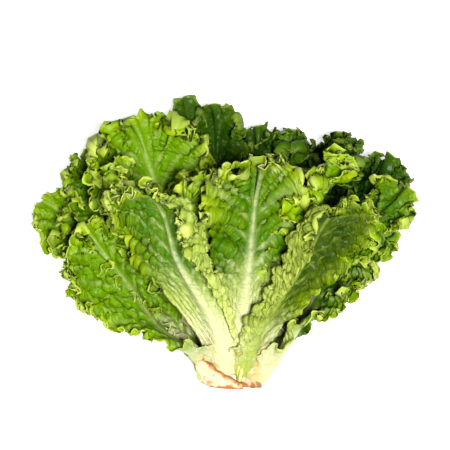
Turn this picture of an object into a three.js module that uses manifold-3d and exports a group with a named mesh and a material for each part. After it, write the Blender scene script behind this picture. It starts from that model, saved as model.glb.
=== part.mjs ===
// A loose head of green leaf lettuce, cut at the butt and lying on its side.
// Millimetres, +Z up. +X runs across the head and +Y from the cut butt towards the crown.
// The stem's axis rises towards the crown, because the outer leaves lift it off the surface.
// Every leaf is a curved sheet of its own that starts on the stem's tapered side.

import * as THREE from 'three';
import { mergeVertices } from 'three/addons/utils/BufferGeometryUtils.js';
import Module from 'manifold-3d';

const wasm = await Module();
wasm.setup();

const degree = Math.PI / 180;

// The head: how it lies, and how far it spreads.
const axisRise = 15 * degree;        // slope of the stem's axis above the surface
const frontDepth = 0.62;             // the head is flatter than round: front leaves stand lower
const settling = 1.08;               // how firmly the leaves underneath press on the surface
const spread = 1;                    // how far every leaf's flare opens the head

// The stem.
const buttRadius = 22;
const neckRadius = 7;
const stemHeight = 50;
const buttSlant = -8 * degree;       // the knife's cut isn't square to the axis
const stemSides = 24;
const buttGap = 1.35;                // the cut butt hangs just clear of the surface
const buttLift = buttRadius * Math.cos(axisRise) + buttGap;

// How the leaves sit on the stem.
const firstLeafHeight = 4;
const layerStep = 6.5;               // height on the stem from one layer of leaves to the next
const layerPadding = 4;              // room that each layer keeps above the one that it lies on
const clearance = 0.3;               // gap between any two pieces
const baseWrap = 1.15;               // a leaf base's width for each millimetre of stem radius

// The leaf sheet.
const bladeThickness = 1.4;
const ribThickness = 3.4;            // extra thickness of the midrib at the base of a leaf
const ribWidth = 8;
const widensFrom = 0.04;             // shares of the length: the blade widens from here
const widensTo = 0.68;               // to here,
const roundsFrom = 0.74;             // and rounds off from here to the tip
const tipSlimming = 0.7;             // how much of the width, squared, the rounding takes away
const tipRounding = 0.1;             // share of the length by which the margins stop short
const flattestCup = 0.45;            // smallest cup radius, for each millimetre of width
const twistsBy = 1.2;                // how fast the twist comes in along the blade
const ruffleHeight = 4;              // how far the wavy margin swings to each side
const ruffleWaves = 2;               // waves along each margin
const contactBand = 0.5;             // what comes this near to the surface lies flat on it
const rowsAlong = 8;
const rowsAcross = 6;
const midribSteps = 12;

// The broken outer leaf's base and the bud beside it.
const brokenBase = { azimuth: 128, length: 19, width: 32, thickness: 3.4, flare: 6 };
const shoot = { azimuth: 79, height: 4, length: 11, radius: 2.3, lean: 12, sides: 10, steps: 6 };

const colours = {
  bright: 0x86a82a,
  mid: 0x5f8a1e,
  dark: 0x3f6a16,
  pale: 0xb9cc62,
  heart: 0x9cb53a,
  stem: 0xe8dcb4,
  shoot: 0xc8cc50,
};

// azimuth: where the leaf grows round the stem, 0 at +X, 90 up, 180 at -X and 270 underneath.
// layer: 1 is outermost and lowest on the stem. flareBase, flareTip: the midrib's angle from
// the axis at both ends. twist: how far the blade turns about its midrib by the tip.
const leaves = [
  { name: 'leaf_under_middle', layer: 1, azimuth: 268, length: 150, flareBase: 50, flareTip: 34,
    width: 82, twist: 0, colour: 'dark' },
  { name: 'leaf_under_left', layer: 1, azimuth: 220, length: 142, flareBase: 38, flareTip: 38,
    width: 80, twist: 0, colour: 'dark' },
  { name: 'leaf_under_right', layer: 1, azimuth: 316, length: 140, flareBase: 38, flareTip: 30,
    width: 72, twist: 0, colour: 'dark' },
  { name: 'leaf_lower_left', layer: 1, azimuth: 178, length: 144, flareBase: 60, flareTip: 31,
    width: 78, twist: 56, colour: 'bright' },
  { name: 'leaf_lower_right', layer: 1, azimuth: 354, length: 124, flareBase: 38, flareTip: 27,
    width: 70, twist: -36, colour: 'pale' },
  { name: 'leaf_far_left', layer: 2, azimuth: 197, length: 182, flareBase: 40, flareTip: 54,
    width: 60, twist: 34, colour: 'bright' },
  { name: 'leaf_under_crown_left', layer: 2, azimuth: 247, length: 168, flareBase: 40, flareTip: 22,
    width: 84, twist: 0, colour: 'dark' },
  { name: 'leaf_under_crown_right', layer: 2, azimuth: 292, length: 164, flareBase: 38, flareTip: 24,
    width: 84, twist: 0, colour: 'dark' },
  { name: 'leaf_right_side', layer: 2, azimuth: 341, length: 160, flareBase: 34, flareTip: 42,
    width: 72, twist: -35, colour: 'mid' },
  { name: 'leaf_front_left', layer: 2, azimuth: 128, length: 164, flareBase: 21, flareTip: 42,
    width: 92, twist: 0, colour: 'pale' },
  { name: 'leaf_front_right', layer: 2, azimuth: 50, length: 168, flareBase: 34, flareTip: 40,
    width: 80, twist: 0, colour: 'mid' },
  { name: 'leaf_left_side', layer: 3, azimuth: 196, length: 158, flareBase: 44, flareTip: 40,
    width: 66, twist: 25, colour: 'mid' },
  { name: 'leaf_right_shoulder', layer: 3, azimuth: 350, length: 180, flareBase: 30, flareTip: 44,
    width: 76, twist: -35, colour: 'dark' },
  { name: 'leaf_front_centre', layer: 3, azimuth: 78, length: 164, flareBase: 22, flareTip: 27,
    width: 66, twist: 0, colour: 'pale' },
  { name: 'leaf_back_left', layer: 4, azimuth: 206, length: 184, flareBase: 32, flareTip: 44,
    width: 76, twist: 30, colour: 'mid' },
  { name: 'leaf_right_crest', layer: 4, azimuth: 326, length: 182, flareBase: 24, flareTip: 32,
    width: 84, twist: 0, colour: 'dark' },
  { name: 'leaf_inner_left', layer: 4, azimuth: 170, length: 156, flareBase: 26, flareTip: 30,
    width: 56, twist: 12, colour: 'bright' },
  { name: 'leaf_right_tip', layer: 4, azimuth: 12, length: 164, flareBase: 36, flareTip: 50,
    width: 56, twist: -35, colour: 'mid' },
  { name: 'leaf_top_centre', layer: 4, azimuth: 286, length: 178, flareBase: 20, flareTip: 18,
    width: 78, twist: 0, colour: 'dark' },
  { name: 'leaf_upper_left', layer: 4, azimuth: 200, length: 184, flareBase: 22, flareTip: 18,
    width: 80, twist: 60, colour: 'bright' },
  { name: 'leaf_inner_right', layer: 5, azimuth: 30, length: 156, flareBase: 24, flareTip: 34,
    width: 78, twist: -20, colour: 'bright' },
  { name: 'leaf_top_strip', layer: 5, azimuth: 237, length: 191, flareBase: 20, flareTip: 10,
    width: 22, twist: 0, colour: 'dark' },
  { name: 'leaf_top_dark', layer: 6, azimuth: 254, length: 176, flareBase: 16, flareTip: 14,
    width: 34, twist: 0, colour: 'dark' },
  { name: 'leaf_top_right', layer: 6, azimuth: 304, length: 164, flareBase: 22, flareTip: 22,
    width: 66, twist: 0, colour: 'dark' },
  { name: 'heart_leaf_front', layer: 5, azimuth: 104, length: 130, flareBase: 12, flareTip: 18,
    width: 60, twist: 0, colour: 'heart' },
  { name: 'heart_leaf_left', layer: 6, azimuth: 170, length: 120, flareBase: 10, flareTip: 12,
    width: 50, twist: 0, colour: 'heart' },
  { name: 'heart_leaf_right', layer: 6, azimuth: 20, length: 116, flareBase: 10, flareTip: 12,
    width: 50, twist: 0, colour: 'heart' },
  { name: 'heart_leaf_middle', layer: 7, azimuth: 90, length: 92, flareBase: 3, flareTip: 6,
    width: 34, twist: 0, colour: 'heart' },
];

const mix = (a, b, share) => a + (b - a) * share;
const clamp01 = (value) => Math.min(1, Math.max(0, value));
const smooth = (value) => clamp01(value) ** 2 * (3 - 2 * clamp01(value));

function stemRadius(height) {
  return mix(neckRadius, buttRadius, (1 - clamp01(height / stemHeight)) ** 1.25);
}

// From the head's own axes (across, towards the front, along the stem) to the lying head's place.
// Nothing moves within core of the axis. Further out, the front is flatter than round, and the
// back settles on the surface: its depth runs out at the room above it, less the padding.
function place(across, depth, along, core, padding) {
  const room = (buttLift + along * Math.sin(axisRise)) / Math.cos(axisRise);
  const beyond = Math.abs(depth) - core;
  let flattened = depth;
  if (beyond > 0 && depth > 0) {
    flattened = core + beyond * frontDepth;
  } else if (beyond > 0) {
    const pressed = padding > 0 ? room - padding : room * settling;
    const left = Math.max(pressed - core, 1);
    flattened = -core - left * Math.tanh(beyond / left);
  }
  return new THREE.Vector3(
    across,
    along * Math.cos(axisRise) - flattened * Math.sin(axisRise),
    along * Math.sin(axisRise) + flattened * Math.cos(axisRise) + buttLift,
  );
}

// The midrib in the plane of its azimuth: radius from the axis, height and lean at share s of
// its length.
function midrib(leaf, s) {
  const start = leaf.flareBase * degree * spread;
  const end = leaf.flareTip * degree * spread;
  const lean = mix(start, end, s);
  let radius = leaf.baseRadius;
  let height = leaf.baseHeight;
  for (let i = 0; i < midribSteps; i += 1) {
    const angle = mix(start, end, s * (i + 0.5) / midribSteps);
    radius += Math.sin(angle) * leaf.length * s / midribSteps;
    height += Math.cos(angle) * leaf.length * s / midribSteps;
  }
  return { radius, height, lean };
}

function halfWidth(leaf, s) {
  const widening = mix(leaf.baseWidth, leaf.width, smooth((s - widensFrom) / (widensTo - widensFrom))) / 2;
  const tipShare = clamp01((s - roundsFrom) / (1 - roundsFrom));
  const rounding = Math.sqrt(1 - tipSlimming * tipShare ** 2);
  return widening * rounding;
}

// A point of the blade's middle surface: s runs from base to tip, t from margin to margin.
function bladePoint(leaf, s, t, extraWidth) {
  const reach = s * (1 - tipRounding * t * t);
  const { radius, height, lean } = midrib(leaf, reach);
  const cup = Math.max(radius / Math.cos(lean), leaf.width * flattestCup);
  const arc = t * (halfWidth(leaf, s) + extraWidth) / cup;
  const turn = leaf.twist * degree * smooth(reach * twistsBy);
  const side = cup * Math.sin(arc);
  const phase = (leaf.azimuth * 2 + 90 * Math.sign(t)) * degree;
  const wave = Math.sin(2 * Math.PI * ruffleWaves * s + phase) * smooth(s * 2);
  const inward = cup * (1 - Math.cos(arc)) + leaf.ruffle * wave * t ** 4;
  const sideways = side * Math.cos(turn) + inward * Math.sin(turn);
  const outward = side * Math.sin(turn) - inward * Math.cos(turn);
  const r = radius + outward * Math.cos(lean);
  const along = height - outward * Math.sin(lean);
  const azimuth = leaf.azimuth * degree;
  return place(
    r * Math.cos(azimuth) + sideways * Math.sin(azimuth),
    r * Math.sin(azimuth) - sideways * Math.cos(azimuth),
    along,
    leaf.core,
    leaf.padding,
  );
}

function sheetThickness(leaf, s, t) {
  const offRib = t * halfWidth(leaf, s) / ribWidth;
  return leaf.thickness + leaf.rib * (1 - s) * Math.exp(-offRib * offRib);
}

// The closed sheet: an outer and an inner grid, joined round the margin. extra grows it on every
// side, for the room that a neighbour leaves.
function leafGeometry(leaf, extra) {
  const across = rowsAcross + 1;
  const positions = [];
  const step = 1e-3;
  const sheets = [1, -1];
  for (const face of sheets) {
    for (let i = 0; i <= rowsAlong; i += 1) {
      for (let j = 0; j <= rowsAcross; j += 1) {
        const overrun = i === 0 ? -extra : (i === rowsAlong ? extra : 0);
        const s = i / rowsAlong + overrun / leaf.length;
        const t = 2 * j / rowsAcross - 1;
        const middle = bladePoint(leaf, s, t, extra);
        const alongStep = bladePoint(leaf, s + step, t, extra).sub(middle);
        const acrossStep = bladePoint(leaf, s, t + step, extra).sub(middle);
        const outward = acrossStep.cross(alongStep).normalize();
        const half = sheetThickness(leaf, s, t) / 2 + extra;
        middle.z = Math.max(middle.z, half);
        const corner = middle.addScaledVector(outward, face * half);
        if (face > 0 && corner.z < contactBand) {
          corner.z = 0;
        }
        corner.z = Math.max(corner.z, 0);
        positions.push(corner.x, corner.y, corner.z);
      }
    }
  }
  const sheetSize = across * (rowsAlong + 1);
  const outerAt = (i, j) => i * across + j;
  const innerAt = (i, j) => sheetSize + i * across + j;
  const triangles = [];
  const quad = (a, b, c, d) => triangles.push(a, b, c, a, c, d);
  for (let i = 0; i < rowsAlong; i += 1) {
    for (let j = 0; j < rowsAcross; j += 1) {
      quad(outerAt(i, j), outerAt(i, j + 1), outerAt(i + 1, j + 1), outerAt(i + 1, j));
      quad(innerAt(i, j), innerAt(i + 1, j), innerAt(i + 1, j + 1), innerAt(i, j + 1));
    }
    quad(outerAt(i, 0), outerAt(i + 1, 0), innerAt(i + 1, 0), innerAt(i, 0));
    quad(outerAt(i, rowsAcross), innerAt(i, rowsAcross), innerAt(i + 1, rowsAcross),
      outerAt(i + 1, rowsAcross));
  }
  for (let j = 0; j < rowsAcross; j += 1) {
    quad(outerAt(0, j), innerAt(0, j), innerAt(0, j + 1), outerAt(0, j + 1));
    quad(outerAt(rowsAlong, j), outerAt(rowsAlong, j + 1), innerAt(rowsAlong, j + 1),
      innerAt(rowsAlong, j));
  }
  return meshFrom(positions, triangles);
}

function meshFrom(positions, triangles) {
  const geometry = new THREE.BufferGeometry();
  geometry.setAttribute('position', new THREE.Float32BufferAttribute(positions, 3));
  geometry.setIndex(triangles);
  return geometry;
}

// Where a leaf starts, and how thick it is, from its layer on the stem.
function seated(leaf) {
  const baseHeight = firstLeafHeight + (leaf.layer - 1) * layerStep;
  const surface = stemRadius(baseHeight);
  return {
    ...leaf,
    baseHeight,
    baseRadius: surface + clearance + (bladeThickness + ribThickness) / 2,
    baseWidth: baseWrap * surface,
    core: surface + layerPadding,
    padding: (leaf.layer - 1) * layerPadding,
    thickness: bladeThickness,
    rib: ribThickness,
    ruffle: ruffleHeight,
  };
}

function brokenBaseLeaf() {
  return {
    azimuth: brokenBase.azimuth,
    length: brokenBase.length,
    flareBase: brokenBase.flare,
    flareTip: brokenBase.flare,
    width: brokenBase.width,
    twist: 0,
    baseHeight: 0,
    baseRadius: buttRadius + clearance + brokenBase.thickness / 2,
    baseWidth: brokenBase.width,
    core: Infinity,
    padding: 0,
    thickness: brokenBase.thickness,
    rib: 0,
    ruffle: 0,
  };
}

// The stem: a lathe turned about the axis, its lowest ring slanted by the knife's cut.
function stemGeometry() {
  const profile = [new THREE.Vector2(0, 0)];
  const rings = 7;
  for (let i = 0; i <= rings; i += 1) {
    const height = stemHeight * i / rings;
    profile.push(new THREE.Vector2(stemRadius(height), height));
  }
  profile.push(new THREE.Vector2(0, stemHeight));
  const geometry = new THREE.LatheGeometry(profile, stemSides);
  const corners = geometry.getAttribute('position');
  for (let i = 0; i < corners.count; i += 1) {
    const across = corners.getX(i);
    const height = corners.getY(i);
    const depth = corners.getZ(i);
    const slant = across * Math.tan(buttSlant) * (1 - height / stemHeight);
    const corner = place(across, depth, height + slant, Infinity, 0);
    corners.setXYZ(i, corner.x, corner.y, corner.z);
  }
  return geometry;
}

// The bud: a tapering round shoot that leans out from the stem's front.
function shootGeometry() {
  const profile = [new THREE.Vector2(0, 0)];
  for (let i = 0; i < shoot.steps; i += 1) {
    const share = i / shoot.steps;
    const swell = Math.sqrt(1 - share ** 2) * (0.75 + share * 0.5);
    profile.push(new THREE.Vector2(shoot.radius * swell, shoot.length * share));
  }
  profile.push(new THREE.Vector2(0, shoot.length));
  const geometry = new THREE.LatheGeometry(profile, shoot.sides);
  const azimuth = shoot.azimuth * degree;
  const lean = shoot.lean * degree;
  const start = buttRadius + clearance + shoot.radius * 1.3;
  const corners = geometry.getAttribute('position');
  for (let i = 0; i < corners.count; i += 1) {
    const radial = start + corners.getX(i) * Math.cos(lean) + corners.getY(i) * Math.sin(lean);
    const along = shoot.height + corners.getY(i) * Math.cos(lean) - corners.getX(i) * Math.sin(lean);
    const across = radial * Math.cos(azimuth) - corners.getZ(i) * Math.sin(azimuth);
    const depth = radial * Math.sin(azimuth) + corners.getZ(i) * Math.cos(azimuth);
    const corner = place(across, depth, along, Infinity, 0);
    corners.setXYZ(i, corner.x, corner.y, corner.z);
  }
  return geometry;
}

function solidFrom(geometry) {
  const bare = geometry.clone();
  bare.deleteAttribute('normal');
  bare.deleteAttribute('uv');
  const merged = mergeVertices(bare, 1e-4);
  return new wasm.Manifold(new wasm.Mesh({
    numProp: 3,
    vertProperties: Float32Array.from(merged.getAttribute('position').array),
    triVerts: Uint32Array.from(merged.index.array),
  }));
}

function largestPiece(solid) {
  let best = null;
  for (const piece of solid.decompose()) {
    if (best === null || piece.volume() > best.volume()) {
      best = piece;
    }
  }
  return best;
}

function geometryFrom(solid) {
  const mesh = solid.getMesh();
  return meshFrom(Array.from(mesh.vertProperties), Array.from(mesh.triVerts));
}

function material(colour, roughness) {
  return new THREE.MeshStandardMaterial({ color: colours[colour], roughness, metalness: 0 });
}

const group = new THREE.Group();

function add(name, geometry, colour, roughness) {
  const mesh = new THREE.Mesh(geometry, material(colour, roughness));
  mesh.name = name;
  group.add(mesh);
}

add('stump', stemGeometry(), 'stem', 0.6);
add('side_shoot', shootGeometry(), 'shoot', 0.5);

// Leaves from the outermost layer inwards: each is trimmed where it would run through one that
// is already in place.
const rooms = [];
for (const leaf of [brokenBaseLeaf(), ...leaves.map(seated)]) {
  let solid = solidFrom(leafGeometry(leaf, 0));
  for (const room of rooms) {
    if (solid.intersect(room).volume() > 0) {
      solid = largestPiece(solid.subtract(room));
    }
  }
  rooms.push(solidFrom(leafGeometry(leaf, clearance)).add(solid));
  add(leaf.name ?? 'broken_leaf_base', geometryFrom(solid), leaf.colour ?? 'stem', 0.45);
}

// The origin is on the surface, under the middle of the head's box.
const middle = new THREE.Box3().setFromObject(group).getCenter(new THREE.Vector3());
group.position.set(-middle.x, -middle.y, 0);

export default group;
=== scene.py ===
"""A loose head of green leaf lettuce, cut at the butt and lying on its side.

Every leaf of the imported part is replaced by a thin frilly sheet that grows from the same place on
the stem, with the same azimuth, length, flare, width and twist. Sweep, hug and a curled tip bend
some midribs away from the part's own. Lengths are in millimetres until a mesh is made.
"""

import math

import bpy
import numpy as np
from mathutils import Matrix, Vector


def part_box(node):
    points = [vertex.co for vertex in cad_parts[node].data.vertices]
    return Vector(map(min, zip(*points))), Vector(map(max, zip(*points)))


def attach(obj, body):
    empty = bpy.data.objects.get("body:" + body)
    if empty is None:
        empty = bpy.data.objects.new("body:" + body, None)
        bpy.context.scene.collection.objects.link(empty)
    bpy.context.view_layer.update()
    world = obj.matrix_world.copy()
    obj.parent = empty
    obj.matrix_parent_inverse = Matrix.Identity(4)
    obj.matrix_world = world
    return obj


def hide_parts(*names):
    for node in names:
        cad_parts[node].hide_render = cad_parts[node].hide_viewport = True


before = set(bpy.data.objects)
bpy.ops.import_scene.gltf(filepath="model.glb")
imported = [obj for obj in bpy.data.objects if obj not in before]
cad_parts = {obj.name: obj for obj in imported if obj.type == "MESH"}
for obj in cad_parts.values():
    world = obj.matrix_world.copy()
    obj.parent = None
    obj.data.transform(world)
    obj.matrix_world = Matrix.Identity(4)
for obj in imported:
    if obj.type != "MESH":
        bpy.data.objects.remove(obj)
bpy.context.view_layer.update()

MM = 0.001
DEGREE = math.pi / 180

# The head, as the part holds it.
AXIS_RISE = 15 * DEGREE      # the lying head's axis rises towards the crown
BUTT_LIFT = 22.6             # the cut's middle above the surface
FRONT_DEPTH = 0.62           # the front's depth, as a share of an upright head's
SETTLING = 1.08              # how far the outermost back leaves are pressed towards the surface
BUTT_RADIUS = 22
NECK_RADIUS = 7
STEM_HEIGHT = 50
BUTT_SLANT = -8 * DEGREE
FIRST_LEAF_HEIGHT = 4
LAYER_STEP = 6.5             # between the layers, along the stem
LAYER_PADDING = 4            # between the layers, where they lie flat
BASE_GAP = 2.7               # between the stem and a leaf's base
BASE_WRAP = 1.15             # a base's width, as a share of the stem's radius

# The leaf sheet.
BLADE = 0.45                 # thickness between the ribs
SHOWN_SPACING = 0.9          # between the points of a leaf that shows
HIDDEN_SPACING = 1.5
FLOOR_GAP = 0.3
TIP_DROP = 0.6               # how far the corners of a tip fall back, as a share of half its width
FAN_CENTRE = 0.72            # share of the length where the tip's fan starts
FOLD_RISE = 0.9              # how much the folds of the margin rise for each step outwards
FULLNESS = 1.2               # the frilly blade is this much wider than the part's plain sheet

# Waves of the frilly margin: wavelength, height to each side, and how far in they reach.
# Each finer set rides on the ones before it.
RUFFLES = ((34, 5.5, 16), (13, 4.2, 13), (6.5, 2.2, 8), (3.6, 0.8, 4.5))
CREST_WIDENING = 0.26        # share of a wave's height that widens its crest
DRIFT = 0.6                  # how far a wave's phase wanders, in radians
LOBE_REACH = 1.1             # how far the margin's small lobes stand out
SLOW_BEND = 6                # height of the slow bends of a whole blade

# Veins and blisters of the blade.
VEIN_SPACING = 15
VEIN_WIDTH = 1.5
VEIN_HEIGHT = 1.3
PUFF_HEIGHT = 1.8
BLISTER_HEIGHT = 2.2
CRINKLE_HEIGHT = 1.1
LUMP_HEIGHT = 1.6
PLEATS_EACH_SIDE = 6
FRILL_COLOUR_REACH = 6.5     # how far in from the margin the frill's colour fades
FIRST_SEED = 100


def hidden(row):
    return row["name"].startswith(("leaf_under", "heart"))


def stem_radius(height):
    share = np.clip(1 - np.asarray(height, float) / STEM_HEIGHT, 0, 1)
    return NECK_RADIUS + (BUTT_RADIUS - NECK_RADIUS) * share ** 1.25


def smooth(value):
    value = np.clip(value, 0, 1)
    return value * value * (3 - 2 * value)


def mix(a, b, share):
    return a + (b - a) * share


stump_low, stump_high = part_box("stump")
BUTT_X = (stump_low.x + stump_high.x) / 2 / MM
BUTT_REACH = BUTT_RADIUS * math.hypot(math.tan(BUTT_SLANT) * math.cos(AXIS_RISE), math.sin(AXIS_RISE))
BUTT_Y = stump_low.y / MM + BUTT_REACH


def place(across, depth, along, core=math.inf, padding=0.0):
    """From the head's own axes to the lying head's place, as the part does it."""
    room = (BUTT_LIFT + along * math.sin(AXIS_RISE)) / math.cos(AXIS_RISE)
    flattened = depth
    if core < math.inf:
        beyond = np.abs(depth) - core
        pressed = room - padding if padding > 0 else room * SETTLING
        left = np.maximum(pressed - core, 1)
        front = core + beyond * FRONT_DEPTH
        back = -core - left * np.tanh(beyond / left)
        flattened = np.where(beyond > 0, np.where(depth > 0, front, back), depth)
    return np.stack([
        BUTT_X + across,
        BUTT_Y + along * math.cos(AXIS_RISE) - flattened * math.sin(AXIS_RISE),
        BUTT_LIFT + along * math.sin(AXIS_RISE) + flattened * math.cos(AXIS_RISE),
    ], axis=-1)


LEAF_DEFAULTS = dict(
    twist=0,                 # of the blade about its midrib, in degrees, as the part has it
    roll=(0, 0),             # how far the left and right margins curl, in degrees; positive: inwards
    roll_from=0.5,           # share of the half width where that curl starts
    frill=1.0,               # size of the ruffles
    frill_from=-0.02,        # share of the length where the ruffles start
    deep=1.0,                # how far in the ruffles reach
    edge=8,                  # wandering curl of the very margin, in degrees
    edge_from=-0.3,          # share of the length where the frill's colour starts
    tip_curl=0,              # extra lean of the tip, in degrees
    wobble=1.0,              # size of the blade's slow bends
    rib=1.0,                 # thickness of the midrib
    sweep=0,                 # sideways shift of the base round the stem, in degrees
    hug=0,                   # how much steeper the base stands against the stem, in degrees
    spread_by=0.85,          # share of the length where the blade has its full width
    base=1.25,               # width of the base
    drop=TIP_DROP,           # how far the tip's corners fall back
    crumple=0,               # fine lumps on a margin that is rolled right over
    plain_to=0.0,            # share of the length where the blisters start
    pleats=0.0,              # height of the pleats that fan out from the base
)


def leaf(name, layer, azimuth, length, flare, width, tone, **bends):
    """One row of the head. flare is the midrib's angle from the axis at base and tip."""
    return dict(LEAF_DEFAULTS, name=name, layer=layer, azimuth=azimuth, length=length, flare=flare,
                width=width, tone=tone, **bends)


# Each row's tone picks a copy from MATERIALS. The tone is partly the leaf's own colour and partly painted
# light and shade for where the leaf lies.
LEAVES = [
    leaf("leaf_under_middle", 1, 268, 150, (50, 34), 82, "dark", frill=0.7),
    leaf("leaf_under_left", 1, 220, 142, (38, 38), 80, "dark", frill=0.7),
    leaf("leaf_under_right", 1, 316, 140, (38, 30), 72, "dark", frill=0.7),
    leaf("leaf_lower_left", 1, 178, 144, (60, 31), 78, "bright", twist=56, roll=(35, -20),
         roll_from=0.3, spread_by=0.5, base=1.8, sweep=-20, hug=55, plain_to=0.3, pleats=0.4),
    leaf("leaf_lower_right", 1, 354, 124, (38, 27), 70, "pale", twist=-36, spread_by=0.6, base=1.5,
         sweep=36, plain_to=0.4, pleats=0.7),
    leaf("leaf_far_left", 2, 197, 182, (40, 54), 60, "bright", twist=34, frill=0.5, plain_to=0.7),
    leaf("leaf_under_crown_left", 2, 247, 168, (40, 22), 84, "dark", frill=0.7),
    leaf("leaf_under_crown_right", 2, 292, 164, (38, 24), 84, "dark", frill=0.7),
    leaf("leaf_right_side", 2, 341, 160, (34, 42), 72, "mid", twist=-35),
    leaf("leaf_front_left", 2, 128, 164, (21, 42), 92, "pale", roll=(-20, -190), roll_from=0.36,
         frill=0.8, frill_from=0.3, sweep=-26, rib=1.5, deep=1.2, crumple=2.0,
         tip_curl=45, plain_to=0.35, pleats=0.8),
    leaf("leaf_front_right", 2, 50, 168, (34, 40), 80, "olive", roll=(-190, -30), roll_from=0.3,
         frill=0.65, sweep=22, rib=1.5, deep=1.2, crumple=2.0,
         tip_curl=40, wobble=0.4, plain_to=0.3, pleats=1.0),
    leaf("leaf_left_side", 3, 196, 158, (44, 40), 66, "mid", twist=25),
    leaf("leaf_right_shoulder", 3, 350, 180, (30, 44), 76, "dark", twist=-35),
    leaf("leaf_front_centre", 3, 78, 164, (22, 27), 66, "pale", tip_curl=20, rib=1.4, frill=1.2,
         deep=1.4, spread_by=1.1, edge_from=0.6, frill_from=0.3, plain_to=0.3, pleats=0.7),
    leaf("leaf_back_left", 4, 206, 184, (32, 44), 76, "mid", twist=30),
    leaf("leaf_right_crest", 4, 326, 182, (24, 32), 84, "dark", frill=1.2),
    leaf("leaf_inner_left", 4, 170, 156, (26, 30), 56, "bright", twist=12, frill=1.0),
    leaf("leaf_right_tip", 4, 12, 164, (36, 50), 56, "mid", twist=-35),
    leaf("leaf_top_centre", 4, 286, 178, (20, 18), 78, "dark", roll=(90, 60), roll_from=0.3),
    leaf("leaf_upper_left", 4, 200, 184, (22, 18), 80, "bright", twist=60, frill=1.3, rib=0.7, plain_to=0.3),
    leaf("leaf_inner_right", 5, 30, 156, (24, 34), 78, "bright", twist=-20, frill=1.2, deep=1.4),
    leaf("leaf_top_strip", 5, 237, 191, (20, 10), 22, "dark", frill=0.5, drop=0.05, spread_by=1.1, base=0.6),
    leaf("leaf_top_dark", 6, 254, 176, (16, 14), 34, "dark", roll=(60, 60), roll_from=0.3),
    leaf("leaf_top_right", 6, 304, 164, (22, 22), 66, "dark", roll=(40, -60), roll_from=0.3),
    leaf("heart_leaf_front", 5, 104, 130, (12, 18), 60, "heart", frill=1.2, deep=1.4),
    leaf("heart_leaf_left", 6, 170, 120, (10, 12), 50, "heart", frill=1.2),
    leaf("heart_leaf_right", 6, 20, 116, (10, 12), 50, "heart", frill=1.2),
    leaf("heart_leaf_middle", 7, 90, 92, (3, 6), 34, "heart"),
]


def waves(random, count, low, high):
    """A smooth random function of one value, between about -1 and 1."""
    rates = random.uniform(low, high, count)
    phases = random.uniform(0, 2 * math.pi, count)
    sizes = random.uniform(0.5, 1, count)
    scale = 1 / np.sqrt((sizes ** 2).sum() / 2) / 1.6

    def value(x):
        total = 0
        for rate, phase, size in zip(rates, phases, sizes):
            total = total + size * np.sin(rate * x + phase)
        return total * scale

    return value


def ripples(random, count, low, high):
    """A smooth random function of two values, between -1 and 1."""
    rates = random.uniform(low, high, count)
    turns = random.uniform(0, 2 * math.pi, count)
    phases = random.uniform(0, 2 * math.pi, count)

    def value(x, y):
        total = 0
        for rate, turn, phase in zip(rates, turns, phases):
            total = total + np.sin(rate * (x * math.cos(turn) + y * math.sin(turn)) + phase)
        return np.tanh(total / math.sqrt(count / 2) / 1.3)

    return value


def unit(vectors):
    return vectors / np.maximum(np.linalg.norm(vectors, axis=-1, keepdims=True), 1e-9)


def half_width(row, s, base_width):
    widening = mix(base_width, row["width"] * FULLNESS, smooth(s / row["spread_by"])) / 2
    rounding = np.sqrt(1 - 0.45 * np.clip((s - 0.82) / 0.18, 0, 1) ** 2)
    return widening * rounding


def midrib(row, base_radius, base_height):
    """The midrib's radius, height and lean, as functions of the share of its length."""
    steps = 240
    share = np.linspace(-0.05, 1.05, steps)
    lean = mix(row["flare"][0], row["flare"][1], share) + row["tip_curl"] * smooth((share - 0.7) / 0.3)
    lean = (lean - row["hug"] * (1 - smooth((share - 0.04) / 0.14))) * DEGREE
    run = row["length"] * (share[1] - share[0])
    radius = np.concatenate([[0], np.cumsum(np.sin((lean[1:] + lean[:-1]) / 2) * run)])
    height = np.concatenate([[0], np.cumsum(np.cos((lean[1:] + lean[:-1]) / 2) * run)])
    radius += base_radius - np.interp(0, share, radius)
    height += base_height - np.interp(0, share, height)
    return lambda s: (np.interp(s, share, radius), np.interp(s, share, height), np.interp(s, share, lean))


def lateral_profile(row, t, reach_width, cup, strength, edge_curl):
    """Integrates the blade's cross-section outwards from the midrib: (sideways, outward)."""
    left, right = row["roll"]
    start = row["roll_from"]
    rolling = np.where(t > 0, right, left) * DEGREE * strength
    band = smooth((np.abs(t) - start) / 0.1)
    curl = rolling * band / np.maximum(reach_width * (1 - start), 1)
    edge_band = smooth((np.abs(t) - 0.78) / 0.1)
    curl = curl + edge_curl * edge_band / np.maximum(reach_width * 0.2, 1)
    bend = 1 / cup + curl
    arc = t * reach_width
    middle = t.shape[1] // 2
    steps = np.diff(arc, axis=1)

    def integrate(values):
        between = (values[:, 1:] + values[:, :-1]) / 2 * steps
        total = np.concatenate([np.zeros((t.shape[0], 1)), np.cumsum(between, axis=1)], axis=1)
        return total - total[:, middle:middle + 1]

    angle = integrate(bend)
    return integrate(np.cos(angle)), -integrate(np.sin(angle))


def leaf_grid(row):
    """The sheet's points: s from base to tip, t from the left margin to the right one."""
    spacing = HIDDEN_SPACING if hidden(row) else SHOWN_SPACING
    rows = round(row["length"] / spacing)
    columns = 2 * round(row["width"] * FULLNESS / spacing / 2) + 1
    along = np.linspace(0, 1, rows)
    along = mix(along, np.sin(along * math.pi / 2), 0.35)
    across = np.linspace(-1, 1, columns)
    across = mix(across, np.sin(across * math.pi / 2), 0.5)
    return np.meshgrid(along, across, indexing="ij")


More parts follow.
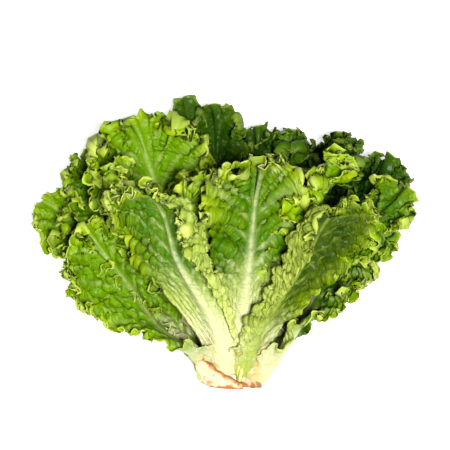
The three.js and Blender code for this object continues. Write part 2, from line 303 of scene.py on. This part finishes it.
def plain_blade(row, s, t, random):
    """The bent and twisted blade before it is frilled, in its place, and its half width."""
    base_height = FIRST_LEAF_HEIGHT + (row["layer"] - 1) * LAYER_STEP
    on_stem = float(stem_radius(base_height))
    core = on_stem + LAYER_PADDING
    padding = (row["layer"] - 1) * LAYER_PADDING

    width = half_width(row, s, BASE_WRAP * on_stem * row["base"])
    reach = s * (1 - row["drop"] * t * t * width / row["length"])
    radius, height, lean = midrib(row, on_stem + BASE_GAP, base_height)(reach)
    cup = np.maximum(radius / np.cos(lean), row["width"] * 0.45)
    strength = smooth((s - 0.04) / 0.2) * (1 - 0.4 * smooth((s - 0.85) / 0.15))
    place_down = np.sign(t) * (1.3 - s) * row["length"]
    wander = np.clip(waves(random, 6, 0.04, 0.16)(place_down), -1, 1)
    edge_curl = row["edge"] * DEGREE * wander * smooth((s - 0.15) / 0.2)
    side, out = lateral_profile(row, t, width, cup, strength, edge_curl)
    turn = row["twist"] * DEGREE * smooth(reach * 1.2)
    sideways = side * np.cos(turn) - out * np.sin(turn)
    outward = side * np.sin(turn) + out * np.cos(turn)
    slow = ripples(random, 5, 0.02, 0.06)(t * width, s * row["length"])
    outward = outward + SLOW_BEND * row["wobble"] * slow * smooth(s * 1.4)

    azimuth = (row["azimuth"] + row["sweep"] * (1 - smooth(reach * 1.6))) * DEGREE
    r = radius + outward * np.cos(lean)
    h = height - outward * np.sin(lean)
    points = place(
        r * np.cos(azimuth) + sideways * np.sin(azimuth),
        r * np.sin(azimuth) - sideways * np.cos(azimuth),
        h, core, padding)
    return points, width


def fan_places(row, s, t, width):
    """Where each point is between the midrib, the margin and the tip's fan."""
    blade_x = t * width
    inset = (1 - np.abs(t)) * width
    tip_inset = (1 - s) * row["length"]
    margin = np.maximum(-np.log(np.exp(-inset / 3) + np.exp(-tip_inset / 3)) * 3, 0)
    past_centre = (s - FAN_CENTRE) * row["length"]
    fan_y = np.maximum(past_centre, FOLD_RISE * np.abs(blade_x))
    below = np.maximum(FOLD_RISE * np.abs(blade_x) - past_centre, 0)
    distance = np.maximum(np.hypot(blade_x, fan_y), 0.5)
    turn_radius = row["width"] * FULLNESS * 0.75
    return dict(
        blade_x=blade_x,
        blade_y=s * row["length"],
        margin=margin,                       # distance from the margin
        distance=distance,                   # distance from the fan's centre
        round_place=np.sign(t) * (turn_radius * np.arctan2(np.abs(blade_x), fan_y + 1e-6) + below),
        share_x=(blade_x / distance)[..., None],
        share_y=(fan_y / distance)[..., None])


def sheet_directions(points):
    to_tip = unit(np.gradient(points, axis=0))
    to_side = unit(np.gradient(points, axis=1))
    return to_tip, to_side, unit(np.cross(to_side, to_tip))


def ruffled(points, row, where, grown, random):
    """Adds the margin's waves. Each finer set keeps closer to the margin."""
    for wavelength, size, reach_in in RUFFLES:
        to_tip, to_side, outer = sheet_directions(points)
        round_fan = to_side * where["share_y"] - to_tip * where["share_x"]
        rate = 2 * math.pi / wavelength
        drift = waves(random, 5, rate * 0.12, rate * 0.45)
        vary = waves(random, 5, rate * 0.2, rate * 0.8)
        phase = rate * where["round_place"] + DRIFT * drift(where["round_place"])
        level = size * np.clip(0.85 + 0.4 * vary(where["round_place"]), 0.5, 1.15)
        level = level * np.exp(-where["margin"] / (reach_in * row["deep"])) * grown
        widening = CREST_WIDENING * level * np.sin(2 * phase)
        points = points + outer * (level * np.sin(phase))[..., None] - round_fan * widening[..., None]
    return points


def rolled_share(row, s, t):
    """1 on a margin that is rolled right over, 0 elsewhere."""
    rolls_over = np.where(t > 0, abs(row["roll"][1]), abs(row["roll"][0])) > 90
    return rolls_over * smooth((np.abs(t) - row["roll_from"]) / 0.15) * smooth((s - 0.05) * 5)


def side_veins(row, s, where):
    """The side veins, and the puffs between them."""
    off_middle = np.abs(where["blade_x"])
    slant = mix(0.3, 0.85, smooth(s * 1.2))
    order = (where["blade_y"] - off_middle / slant) / VEIN_SPACING + 0.3 * np.sign(where["blade_x"])
    line = np.abs(order - np.round(order)) * VEIN_SPACING
    fade = np.exp(-off_middle / (0.55 * row["width"])) * smooth(s * 5)
    vein = np.exp(-(line / VEIN_WIDTH) ** 2) * fade * smooth((off_middle - 2) / 5)
    puff = 1 - np.exp(-(line / (3 * VEIN_WIDTH)) ** 2)
    return vein, puff * smooth((off_middle - 4) / 10) * smooth(where["margin"] / 10)


def blade_bulge(row, s, t, where, puff, rolled, random):
    """Blisters, crinkles, pleats and the lumps of a rolled margin, in millimetres outwards."""
    x, y = where["blade_x"], where["blade_y"]
    blister = 1.5 * np.abs(ripples(random, 9, 0.2, 0.5)(x, y))
    crinkle = ripples(random, 12, 0.7, 1.5)(x, y)
    lumps = np.abs(ripples(random, 10, 0.5, 0.9)(x, y))
    off_rib = smooth((np.abs(x) - 3) / 8) * smooth((s - 0.1) * 2.5)
    above_stalk = smooth((s - row["plain_to"]) / 0.25)
    rough = (BLISTER_HEIGHT * blister + CRINKLE_HEIGHT * crinkle) * off_rib
    bulge = (PUFF_HEIGHT * puff + rough) * above_stalk - row["crumple"] * LUMP_HEIGHT * lumps * rolled
    fold = np.sin(2 * math.pi * PLEATS_EACH_SIDE * t + 0.4 * crinkle)
    pleat = fold * smooth(s / 0.12) * smooth((0.72 - s) / 0.4) * off_rib
    return bulge + row["pleats"] * pleat


def leaf_surface(row, seed):
    """A leaf's points, how thick it stands out at its ribs, and facts for its material."""
    random = np.random.default_rng(seed)
    s, t = leaf_grid(row)
    points, width = plain_blade(row, s, t, random)
    where = fan_places(row, s, t, width)
    grown = smooth((s - row["frill_from"]) / 0.3) * row["frill"] * smooth((where["distance"] - 2) / 9)
    grown = grown * (1 + 0.4 * smooth((s - 0.7) / 0.2))
    points = ruffled(points, row, where, grown, random)

    to_tip, to_side, outer = sheet_directions(points)
    from_fan = to_side * where["share_x"] + to_tip * where["share_y"]
    lobes = waves(random, 8, 0.3, 1.1)(where["round_place"])
    reach_out = LOBE_REACH * lobes * np.exp(-where["margin"] / 3)
    vein, puff = side_veins(row, s, where)
    rolled = rolled_share(row, s, t)
    bulge = blade_bulge(row, s, t, where, puff, rolled, random)
    points = points + outer * bulge[..., None] + from_fan * (reach_out * grown)[..., None]

    rib_size = row["rib"] * mix(5.5, 0.5, smooth(s * 1.05)) * (1 - s) ** 0.3
    rib = np.exp(-(where["blade_x"] / mix(8.5, 1.3, smooth(s * 1.3))) ** 2)
    relief = rib_size * rib + VEIN_HEIGHT * vein * (1 - 0.6 * s)
    frill_colour = np.exp(-where["margin"] / FRILL_COLOUR_REACH) * smooth((s - row["edge_from"]) / 0.2)
    facts = {
        "vein": np.clip(np.maximum(rib, 0.8 * vein), 0, 1),
        "edge": np.maximum(frill_colour, 0.7 * rolled),
        "stalk": 1 - s,
        "leaf_x": where["blade_x"],
        "leaf_y": where["blade_y"],
        "rolled": rolled * (1 - 0.5 * smooth((s - 0.6) / 0.3)),
    }
    return points, relief, facts


def sheet_normals(points):
    down = np.gradient(points, axis=0)
    side = np.gradient(points, axis=1)
    return unit(np.cross(side, down))


def above_floor(points):
    """Lifts what would sink into the surface, smoothly."""
    soft = 1.5
    z = points[..., 2] - FLOOR_GAP
    points[..., 2] = FLOOR_GAP + np.where(z < 8, soft * np.log1p(np.exp(np.clip(z, -60, 8) / soft)), z)
    return points


def closed_sheet(name, points, relief, facts):
    points = above_floor(points)
    normals = sheet_normals(points)
    outer = points + normals * (BLADE / 2 + relief * 0.75)[..., None]
    inner = points - normals * (BLADE / 2 + relief * 0.25)[..., None]
    rows, columns = points.shape[:2]
    size = rows * columns
    index = np.arange(size).reshape(rows, columns)
    a, b = index[:-1, :-1].ravel(), index[:-1, 1:].ravel()
    c, d = index[1:, 1:].ravel(), index[1:, :-1].ravel()
    quads = [np.stack([a, b, c, d], 1), np.stack([a, d, c, b], 1) + size]
    rim = np.concatenate([index[0, :], index[1:, -1], index[-1, -2::-1], index[-2:0:-1, 0]])
    after = np.roll(rim, -1)
    quads.append(np.stack([after, rim, rim + size, after + size], 1))
    vertices = np.concatenate([outer.reshape(-1, 3), inner.reshape(-1, 3)]) * MM
    vertices[:, 2] = np.maximum(vertices[:, 2], 0.0001)
    doubled = {key: np.concatenate([value.ravel(), value.ravel()]) for key, value in facts.items()}
    side = np.concatenate([np.zeros(size), np.ones(size)])
    doubled["inside"] = side
    return mesh_object(name, vertices, quads, doubled)


def mesh_object(name, vertices, face_sets, facts=None):
    """face_sets: arrays of vertex numbers, one row for each face."""
    corners = np.concatenate([faces.ravel() for faces in face_sets]).astype(np.int32)
    sizes = np.concatenate([np.full(len(faces), faces.shape[1]) for faces in face_sets])
    starts = np.concatenate([[0], np.cumsum(sizes)[:-1]]).astype(np.int32)
    mesh = bpy.data.meshes.new(name)
    mesh.vertices.add(len(vertices))
    mesh.vertices.foreach_set("co", vertices.astype(np.float32).ravel())
    mesh.loops.add(len(corners))
    mesh.loops.foreach_set("vertex_index", corners)
    mesh.polygons.add(len(starts))
    mesh.polygons.foreach_set("loop_start", starts)
    mesh.polygons.foreach_set("use_smooth", np.ones(len(starts), bool))
    mesh.update(calc_edges=True)
    for key, value in (facts or {}).items():
        attribute = mesh.attributes.new(key, "FLOAT", "POINT")
        attribute.data.foreach_set("value", value.astype(np.float32))
    mesh.validate()
    piece = bpy.data.objects.new(name, mesh)
    bpy.context.scene.collection.objects.link(piece)
    return piece


# --- materials ---

class Nodes:
    """Small help for building a material's node tree."""

    def __init__(self, name):
        self.material = bpy.data.materials.new(name)
        self.material.use_nodes = True
        self.tree = self.material.node_tree
        self.shader = self.tree.nodes["Principled BSDF"]
        self.output = self.tree.nodes["Material Output"]

    def add(self, kind, **settings):
        node = self.tree.nodes.new(kind)
        for key, value in settings.items():
            setattr(node, key, value)
        return node

    def link(self, start, end):
        self.tree.links.new(start, end)

    def fact(self, name):
        return self.add("ShaderNodeAttribute", attribute_name=name).outputs["Fac"]

    def math(self, operation, a, b):
        node = self.add("ShaderNodeMath", operation=operation)
        for socket, value in zip(node.inputs, (a, b)):
            if isinstance(value, (int, float)):
                socket.default_value = value
            else:
                self.link(value, socket)
        return node.outputs[0]

    def ramp(self, value, stops):
        node = self.add("ShaderNodeValToRGB")
        elements = node.color_ramp.elements
        while len(elements) < len(stops):
            elements.new(0.5)
        for element, (position, colour) in zip(elements, stops):
            element.position = position
            element.color = (*colour, 1)
        self.link(value, node.inputs[0])
        return node.outputs[0]

    def blend(self, share, a, b):
        node = self.add("ShaderNodeMix", data_type="RGBA")
        for socket, value in ((node.inputs[0], share), (node.inputs[6], a), (node.inputs[7], b)):
            if isinstance(value, tuple):
                socket.default_value = (*value, 1)
            elif isinstance(value, (int, float)):
                socket.default_value = value
            else:
                self.link(value, socket)
        return node.outputs[2]

    def leaf_place(self, scale_x=1.0, scale_y=1.0):
        node = self.add("ShaderNodeCombineXYZ")
        self.link(self.math("MULTIPLY", self.fact("leaf_x"), scale_x), node.inputs[0])
        self.link(self.math("MULTIPLY", self.fact("leaf_y"), scale_y), node.inputs[1])
        return node.outputs[0]

    def noise(self, place, scale, detail=3.0):
        node = self.add("ShaderNodeTexNoise")
        node.inputs["Scale"].default_value = scale
        node.inputs["Detail"].default_value = detail
        self.link(place, node.inputs["Vector"])
        return node.outputs["Fac"]


STALK_WHITE = (0.74, 0.72, 0.52)
STALK_GREEN = (0.34, 0.44, 0.05)
STALK_OCHRE = (0.60, 0.42, 0.10)


def leaf_material(name, blade, margin, rim, rib, pale, shine=0.36):
    n = Nodes(name)
    spot = n.leaf_place()
    patch = n.noise(spot, 0.06)
    fine = n.noise(spot, 0.5, 5.0)
    cells = n.add("ShaderNodeTexVoronoi", feature="DISTANCE_TO_EDGE")
    cells.inputs["Scale"].default_value = 0.22
    n.link(spot, cells.inputs["Vector"])
    net = n.ramp(cells.outputs["Distance"], [(0.0, (1, 1, 1)), (0.09, (0, 0, 0))])
    edge = n.fact("edge")
    vein = n.fact("vein")
    stalk = n.fact("stalk")

    colour = n.blend(n.ramp(patch, [(0.35, (0, 0, 0)), (0.65, (1, 1, 1))]), blade,
                     tuple(mix(np.array(blade), np.array(margin), 0.15)))
    colour = n.blend(n.math("MULTIPLY", n.fact("inside"), 0.5), colour, tuple(0.5 * np.array(blade)))
    colour = n.blend(n.math("MULTIPLY", net, 0.16), colour, margin)
    colour = n.blend(n.math("MULTIPLY", n.math("POWER", edge, 0.75), 0.95), colour, margin)
    # On the inner face the margin is pulled towards the blade's green. This is partly the darker upper face
    # of the leaf and partly painted shade inside the curls of the frills.
    colour = n.blend(n.math("MULTIPLY", n.fact("inside"), 0.35), colour, tuple(1.2 * np.array(blade)))
    # A thin line on the very margin takes the rim colour. It is partly the leaf's paler edge and partly a
    # painted highlight along it.
    colour = n.blend(n.ramp(edge, [(0.84, (0, 0, 0)), (1.0, (0.7, 0.7, 0.7))]), colour, rim)
    base_share = n.math("SUBTRACT", stalk, 1 - pale * 0.62)
    base_share = n.math("MULTIPLY", base_share, 3.2)
    base_share = n.math("ADD", base_share, n.math("MULTIPLY", n.math("SUBTRACT", fine, 0.5), 0.5))
    clamped = n.math("MINIMUM", n.math("MAXIMUM", base_share, 0.0), 1.0)
    colour = n.blend(clamped, colour, tuple(mix(np.array(margin), np.array(rib), 0.45)))
    strand = n.ramp(n.noise(n.leaf_place(0.55, 0.035), 1.0), [(0.42, (0, 0, 0)), (0.6, (1, 1, 1))])
    strand = n.math("MULTIPLY", strand, n.math("MULTIPLY", clamped, 0.75))
    colour = n.blend(strand, colour, STALK_GREEN)
    white = n.math("MULTIPLY", n.math("SUBTRACT", stalk, 0.66), 4.0)
    white = n.math("ADD", white, n.math("MULTIPLY", n.math("SUBTRACT", fine, 0.5), 1.2))
    colour = n.blend(n.math("MINIMUM", n.math("MAXIMUM", white, 0.0), 0.8), colour, STALK_WHITE)
    blotch = n.noise(spot, 0.14, 4.0)
    stain = n.math("MULTIPLY", n.math("SUBTRACT", stalk, 0.80), 8.0)
    stain = n.math("MULTIPLY", stain, n.ramp(blotch, [(0.42, (0, 0, 0)), (0.58, (1, 1, 1))]))
    colour = n.blend(n.math("MINIMUM", n.math("MAXIMUM", stain, 0.0), 0.8), colour, STALK_OCHRE)
    vein_share = n.math("MULTIPLY", vein, n.math("ADD", n.math("MULTIPLY", stalk, 0.55), 0.4))
    colour = n.blend(vein_share, colour, rib)

    # A margin rolled right over is lightened towards the rim colour. This is partly its paler turned-over
    # side and partly the rim's painted highlight.
    colour = n.blend(n.math("MULTIPLY", n.fact("rolled"), 0.6), colour, rim)
    mottle = n.noise(spot, 0.16, 4.0)
    shade = n.ramp(mottle, [(0.36, (0.45, 0.45, 0.45)), (0.54, (0, 0, 0))])
    colour = n.blend(n.math("MULTIPLY", shade, n.math("SUBTRACT", 1.0, clamped)), colour, blade)
    n.link(colour, n.shader.inputs["Base Color"])
    n.shader.inputs["Roughness"].default_value = shine
    n.shader.inputs["IOR"].default_value = 1.4
    n.shader.inputs["Specular IOR Level"].default_value = 0.24
    bump = n.add("ShaderNodeBump")
    bump.inputs["Strength"].default_value = 0.6
    bump.inputs["Distance"].default_value = 0.0008
    height = n.math("ADD", n.math("MULTIPLY", fine, 0.6), n.math("MULTIPLY", net, 0.8))
    n.link(height, bump.inputs["Height"])
    n.link(bump.outputs["Normal"], n.shader.inputs["Normal"])

    through = n.add("ShaderNodeBsdfTranslucent")
    n.link(n.blend(0.6, colour, (0.06, 0.24, 0.0)), through.inputs["Color"])
    both = n.add("ShaderNodeMixShader")
    both.inputs[0].default_value = 0.14
    n.link(n.shader.outputs[0], both.inputs[1])
    n.link(through.outputs[0], both.inputs[2])
    n.link(both.outputs[0], n.output.inputs["Surface"])
    return n.material


# The tones are lighter and darker copies of one leaf material. Leaves do differ in colour, but the copies
# also paint light and shade. 'dark' is painted shade on the leaves that lie under the head, across its top
# and down its right side. The near-black blade of 'olive' is painted shade. 'bright' is partly a painted
# sheen.
MATERIALS = {
    "bright": leaf_material("leaf_bright", (0.13, 0.30, 0.0), (0.39, 0.53, 0.004), (0.60, 0.68, 0.14),
                            (0.60, 0.68, 0.24), 0.5),
    "mid": leaf_material("leaf_mid", (0.04, 0.14, 0.0), (0.27, 0.41, 0.0), (0.50, 0.60, 0.10),
                         (0.34, 0.46, 0.05), 0.45),
    "dark": leaf_material("leaf_dark", (0.008, 0.05, 0.0), (0.085, 0.18, 0.003), (0.28, 0.38, 0.05),
                          (0.14, 0.25, 0.012), 0.4),
    "olive": leaf_material("leaf_olive", (0.008, 0.04, 0.0), (0.28, 0.41, 0.003), (0.54, 0.62, 0.12),
                           (0.36, 0.46, 0.06), 0.6),
    "pale": leaf_material("leaf_pale", (0.04, 0.15, 0.0), (0.41, 0.53, 0.01), (0.62, 0.69, 0.18),
                          (0.72, 0.74, 0.42), 0.9),
    "heart": leaf_material("leaf_heart", (0.13, 0.29, 0.003), (0.42, 0.54, 0.03), (0.58, 0.67, 0.07),
                           (0.70, 0.72, 0.26), 0.9),
}
SLOTS = {tone: "leaf_" + tone for tone in MATERIALS}
SLOTS["olive"] = "leaf_mid"


def make_leaves():
    for number, row in enumerate(LEAVES):
        points, relief, facts = leaf_surface(row, FIRST_SEED + number)
        piece = closed_sheet("frilly_" + row["name"], points, relief, facts)
        piece.data.materials.append(MATERIALS[row["tone"]])
        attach(piece, "root")
        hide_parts(row["name"])


make_leaves()


# --- stem ---

CREAM = (0.74, 0.68, 0.48)
FLESH_PINK = (0.78, 0.56, 0.36)
BROWNED = (0.46, 0.17, 0.045)
DARK_BROWN = (0.26, 0.09, 0.03)
OCHRE = (0.66, 0.44, 0.16)


def flesh_material():
    """Pale flesh that browns towards a cut or torn edge; the cut face itself is ochre."""
    n = Nodes("stem_flesh")
    spot = n.add("ShaderNodeTexCoord").outputs["Object"]
    patch = n.noise(spot, 130.0)
    fine = n.noise(spot, 700.0, 5.0)
    cut = n.fact("cut")
    streak = n.noise(spot, 260.0, 6.0)
    spread = n.math("ADD", cut, n.math("MULTIPLY", n.math("SUBTRACT", patch, 0.5), 0.5))
    spread = n.math("ADD", spread, n.math("MULTIPLY", n.math("SUBTRACT", streak, 0.5), 1.1))
    side = n.ramp(spread, [(0.1, CREAM), (0.36, FLESH_PINK), (0.6, BROWNED), (0.9, DARK_BROWN)])
    rays = n.math("ADD", n.fact("radius"), n.math("MULTIPLY", n.math("SUBTRACT", fine, 0.5), 0.5))
    face = n.ramp(rays, [(0.2, (0.78, 0.62, 0.32)), (0.5, OCHRE), (0.72, BROWNED), (0.95, DARK_BROWN)])
    on_face = n.ramp(cut, [(0.95, (0, 0, 0)), (0.99, (1, 1, 1))])
    colour = n.blend(on_face, side, face)
    n.link(colour, n.shader.inputs["Base Color"])
    n.shader.inputs["Roughness"].default_value = 0.5
    n.shader.inputs["Specular IOR Level"].default_value = 0.3
    bump = n.add("ShaderNodeBump")
    bump.inputs["Strength"].default_value = 0.5
    bump.inputs["Distance"].default_value = 0.0008
    n.link(n.math("ADD", fine, n.math("MULTIPLY", patch, 2.0)), bump.inputs["Height"])
    n.link(bump.outputs["Normal"], n.shader.inputs["Normal"])
    return n.material


def shoot_material():
    """Young yellow-green scales, darker in the grooves between their ridges and paler on the crests."""
    n = Nodes("side_shoot")
    spot = n.add("ShaderNodeTexCoord").outputs["Object"]
    fine = n.noise(spot, 600.0, 4.0)
    share = n.math("ADD", n.fact("scale"), n.math("MULTIPLY", n.math("SUBTRACT", fine, 0.5), 0.4))
    colour = n.ramp(share, [(0.1, (0.34, 0.36, 0.03)), (0.5, (0.60, 0.60, 0.10)), (0.9, (0.80, 0.76, 0.34))])
    n.link(colour, n.shader.inputs["Base Color"])
    n.shader.inputs["Roughness"].default_value = 0.42
    return n.material


# How high the torn leaf base stands from its left end to its right end.
TORN_PLACES = (-1, -0.85, -0.6, -0.3, 0.0, 0.35, 0.7, 1)
TORN_HEIGHTS = (12, 16.5, 20.5, 20, 15.5, 10, 5.5, 3)


def closed_tube(name, rings, facts, material):
    """A closed body from rings of points, with a pole at each end."""
    count, sides = rings.shape[:2]
    index = np.arange(count * sides).reshape(count, sides)
    after = np.roll(index, -1, axis=1)
    quads = np.stack([index[:-1].ravel(), index[1:].ravel(), after[1:].ravel(), after[:-1].ravel()], 1)
    low, high = count * sides, count * sides + 1
    start = np.stack([np.full(sides, low), index[0], after[0]], 1)
    end = np.stack([np.full(sides, high), after[-1], index[-1]], 1)
    poles = np.stack([rings[0].mean(axis=0), rings[-1].mean(axis=0)])
    vertices = np.concatenate([rings.reshape(-1, 3), poles]) * MM
    vertices[:, 2] = np.maximum(vertices[:, 2], 0.0001)
    values = {}
    for key, value in facts.items():
        values[key] = np.concatenate([value.ravel(), [value[0, 0], value[-1, 0]]])
    piece = mesh_object(name, vertices, [quads, start, end], values)
    piece.data.materials.append(material)
    return piece


def make_stump(material):
    """The tapered stem: a rough, slightly hollow cut face, then sides ridged by leaf scars."""
    random = np.random.default_rng(11)
    sides, face_rings, side_rings = 160, 18, 60
    angle = np.linspace(0, 2 * math.pi, sides, endpoint=False)
    share = np.concatenate([np.linspace(0.03, 0.96, face_rings), np.ones(side_rings)])
    rise = np.concatenate([np.zeros(face_rings), np.linspace(0.02, 1, side_rings) ** 1.6]) * STEM_HEIGHT
    share, turn = np.meshgrid(share, angle, indexing="ij")
    rise = np.broadcast_to(rise[:, None], share.shape)
    on_face = share < 0.99
    rough = ripples(random, 9, 0.3, 1.4)
    scars = ripples(random, 7, 0.2, 0.7)
    across = share * np.cos(turn)
    depth = share * np.sin(turn)
    radius = stem_radius(rise) - 0.6 * np.exp(-rise / 1.2)
    radius = radius + 0.5 * scars(turn * 12, rise * 2) * smooth(rise / 3) * np.exp(-rise / 30)
    dish = 1.3 * (1 - share ** 2) + 0.35 * rough(across * 22, depth * 22)
    height = np.where(on_face, dish, rise + 0.3 * rough(across * 22, depth * 22) * np.exp(-rise / 2))
    slant = radius * across * math.tan(BUTT_SLANT) * (1 - np.clip(height, 0, STEM_HEIGHT) / STEM_HEIGHT)
    points = place(radius * across, radius * depth, height + slant)
    browned = (0.75 + 0.2 * across) * np.exp(-rise / (4 + 2.5 * across))
    facts = {"cut": np.where(on_face, 1.0, browned), "radius": share}
    return closed_tube("cut_stump", points, facts, material)


def make_shoot(material):
    """A small bud of overlapping scales on the stem's front."""
    sides, count = 48, 40
    azimuth, lean, length, girth = 79 * DEGREE, 12 * DEGREE, 12.5, 2.6
    share = np.linspace(0.01, 0.99, count)[:, None]
    turn = np.linspace(0, 2 * math.pi, sides, endpoint=False)[None, :]
    swell = np.sqrt(1 - share ** 1.6) * (0.62 + 0.75 * share)
    ridges = np.sin(3 * turn + 5 * share)
    reach = girth * swell * (1 + 0.16 * ridges + 0.08 * np.sin(7 * turn - 9 * share))
    local_x = reach * np.cos(turn) + 0.8 * share ** 2
    local_y = reach * np.sin(turn)
    local_z = length * share + 0.5 * ridges * share
    radial = BUTT_RADIUS + 3.0 + local_x * math.cos(lean) + local_z * math.sin(lean)
    along = 4 + local_z * math.cos(lean) - local_x * math.sin(lean)
    across = radial * math.cos(azimuth) - local_y * math.sin(azimuth)
    depth = radial * math.sin(azimuth) + local_y * math.cos(azimuth)
    scale = 0.5 + 0.5 * ridges * np.ones_like(share)
    return closed_tube("bud", place(across, depth, along), {"scale": scale}, material)


def make_broken_base(material):
    """The stub of a leaf that was torn off: a thick curved lip, high on the left, low on the right."""
    random = np.random.default_rng(23)
    rows, columns = 60, 110
    azimuth, width, thick = 123 * DEGREE, 42.0, 3.8
    s, t = np.meshgrid(np.linspace(0, 1, rows), np.linspace(-1, 1, columns), indexing="ij")
    top = np.interp(t, TORN_PLACES, TORN_HEIGHTS) + 0.5 * waves(random, 6, 0.3, 1.2)(t * width / 2)
    along = s * top - 1.2 * (1 - s) * (1 - np.abs(t)) - 0.09 * t * width / 2 * (1 - s)
    turn = azimuth - t * width / 2 / (BUTT_RADIUS + 2)
    folds = ripples(random, 7, 0.15, 0.6)(t * width / 2, along)
    radial = BUTT_RADIUS + 2.2 + 1.6 * s + 0.6 * folds + 1.3 * s ** 3
    points = place(radial * np.cos(turn), radial * np.sin(turn), along)
    rim = np.minimum((1 - np.abs(t)) * width / 2, (1 - s) * top) + 0.2
    rim = np.minimum(rim, s * top + 0.2)
    body = thick * np.sqrt(np.clip(rim / 4, 0.04, 1))
    facts = {"cut": 0.22 + 0.75 * np.exp(-rim / 1.5), "radius": np.ones_like(s)}
    piece = closed_sheet("torn_leaf_base", points, body - BLADE, facts)
    piece.data.materials.append(material)
    return piece


def make_stem():
    flesh = flesh_material()
    for piece, node, slot in (
            (make_stump(flesh), "stump", "stem"),
            (make_broken_base(flesh), "broken_leaf_base", "stem"),
            (make_shoot(shoot_material()), "side_shoot", "shoot")):
        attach(piece, "root")
        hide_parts(node)


make_stem()


# --- floor, light and camera ---

def make_floor():
    half = 3.0
    corners = np.array([[-half, -half, 0], [half, -half, 0], [half, half, 0], [-half, half, 0]])
    floor = mesh_object("floor", corners, [np.array([[0, 1, 2, 3]])])
    n = Nodes("floor")
    n.shader.inputs["Base Color"].default_value = (0.9, 0.9, 0.9, 1)
    n.shader.inputs["Roughness"].default_value = 0.8
    n.shader.inputs["Emission Color"].default_value = (1, 1, 1, 1)
    n.shader.inputs["Emission Strength"].default_value = 0.65
    floor.data.materials.append(n.material)


LIGHT_COLOUR = (1.0, 1.0, 0.92)


def make_light(name, spot, target, size, watts):
    light = bpy.data.lights.new(name, "AREA")
    light.shape = "DISK"
    light.size = size
    light.energy = watts
    light.color = LIGHT_COLOUR
    lamp = bpy.data.objects.new(name, light)
    lamp.location = spot
    lamp.rotation_euler = (Vector(target) - Vector(spot)).to_track_quat("-Z", "Y").to_euler()
    bpy.context.scene.collection.objects.link(lamp)


def make_camera():
    view_tilt = 90 * DEGREE - AXIS_RISE
    centre_across = -5.8
    centre_along = 115.8
    centre_depth = 12.0
    target = place(centre_across, centre_depth, centre_along) * MM
    distance = 1.1
    shown_width = 0.3256
    data = bpy.data.cameras.new("camera")
    data.sensor_width = 36
    data.lens = data.sensor_width * distance / shown_width
    camera = bpy.data.objects.new("camera", data)
    direction = np.array([0, -math.cos(view_tilt), math.sin(view_tilt)])
    camera.location = target + direction * distance
    camera.rotation_euler = (90 * DEGREE - view_tilt, 0, 0)
    bpy.context.scene.collection.objects.link(camera)
    bpy.context.scene.camera = camera


def make_studio():
    make_floor()
    make_camera()
    make_light("key", (0.2, -0.45, 1.3), (0, 0, 0.05), 0.3, 30)
    make_light("fill", (-0.9, -0.3, 1.0), (0, 0, 0.05), 0.8, 5)
    world = bpy.data.worlds.new("studio")
    world.use_nodes = True
    world.node_tree.nodes["Background"].inputs[0].default_value = (0.75, 1.0, 0.6, 1)
    world.node_tree.nodes["Background"].inputs[1].default_value = 0.06
    bpy.context.scene.world = world
    bpy.context.scene.view_settings.view_transform = "Standard"


make_studio()
